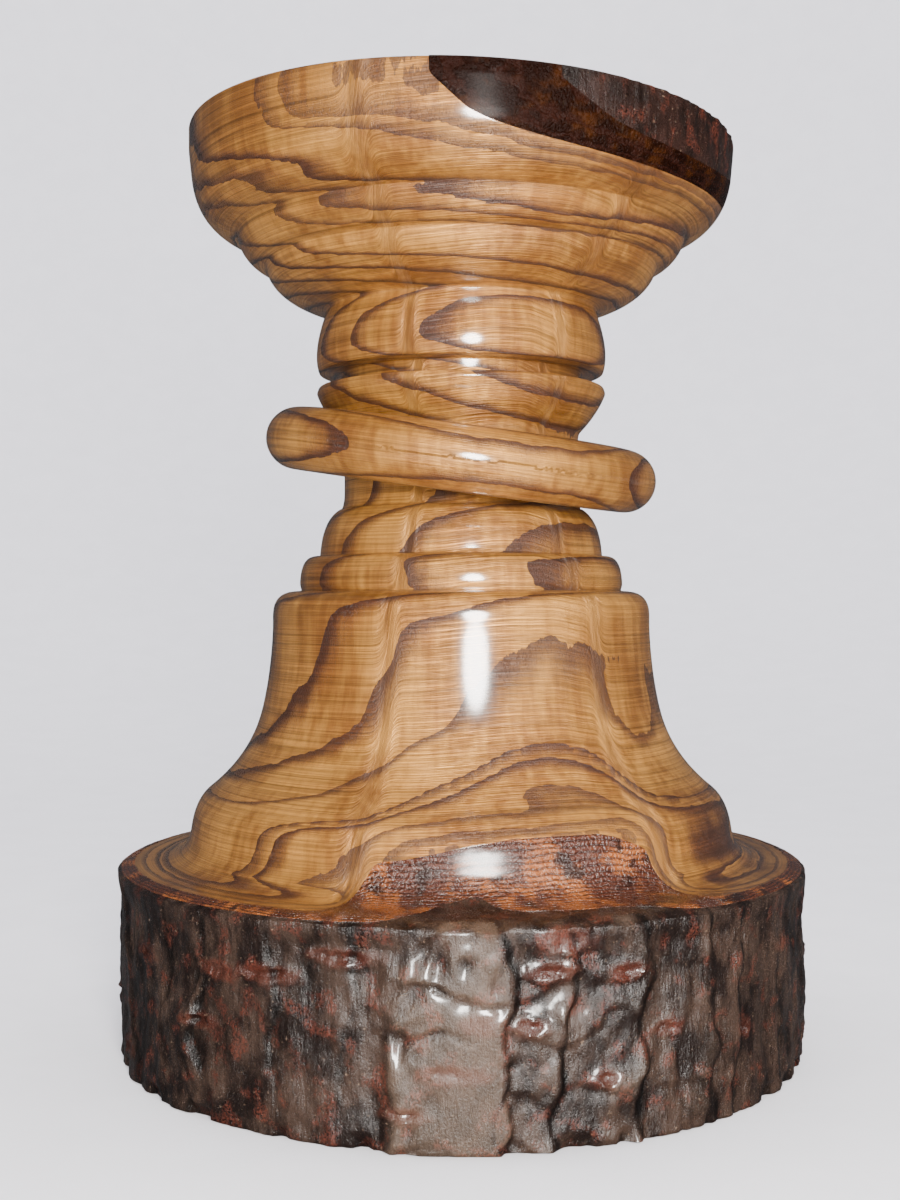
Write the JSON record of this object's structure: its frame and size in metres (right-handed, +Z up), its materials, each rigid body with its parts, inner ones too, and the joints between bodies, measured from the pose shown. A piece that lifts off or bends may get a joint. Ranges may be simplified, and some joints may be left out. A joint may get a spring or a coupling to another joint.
{
  "type": "wooden candlestick",
  "caption": "Turned natural-edge candlestick with a bark-covered base, a loose captive ring on the neck and a metal candle cup.",
  "frame": {"origin": "on the turning axis, in the plane of the underside", "axes": "+Z up along the turning axis, -Y the front with the bark scar of the base, +X to the right seen from the front"},
  "size_m": [0.1168, 0.1152, 0.1516],
  "materials": {
    "turned_wood": "clear gloss varnish over golden brown fruitwood with dark growth lines",
    "ring_wood": "clear gloss varnish over golden brown fruitwood",
    "inner_bark": "varnished red-brown inner bark with fine layers",
    "outer_bark": "varnished grey-brown natural bark",
    "rim_inner_bark": "varnished, nearly black cut bark",
    "rim_outer_bark": "varnished, fissured natural bark",
    "brass_cup": "satin pressed brass",
    "screw_steel": "zinc plated"
  },
  "bodies": {
    "candlestick": {"turned_body": "turned_wood", "base_inner_bark": "inner_bark", "base_outer_bark": "outer_bark", "rim_inner_bark": "rim_inner_bark", "rim_outer_bark": "rim_outer_bark", "candle_cup": "brass_cup", "cup_screw": "screw_steel"},
    "ring": {"captive_ring": "ring_wood"}
  },
  "joints": [
    {"name": "ring_spin", "type": "hinge", "parent": "candlestick", "child": "ring", "pos_m": [0, 0, 0.0975], "axis": [0, 0, 1], "continuous": true}
  ]
}
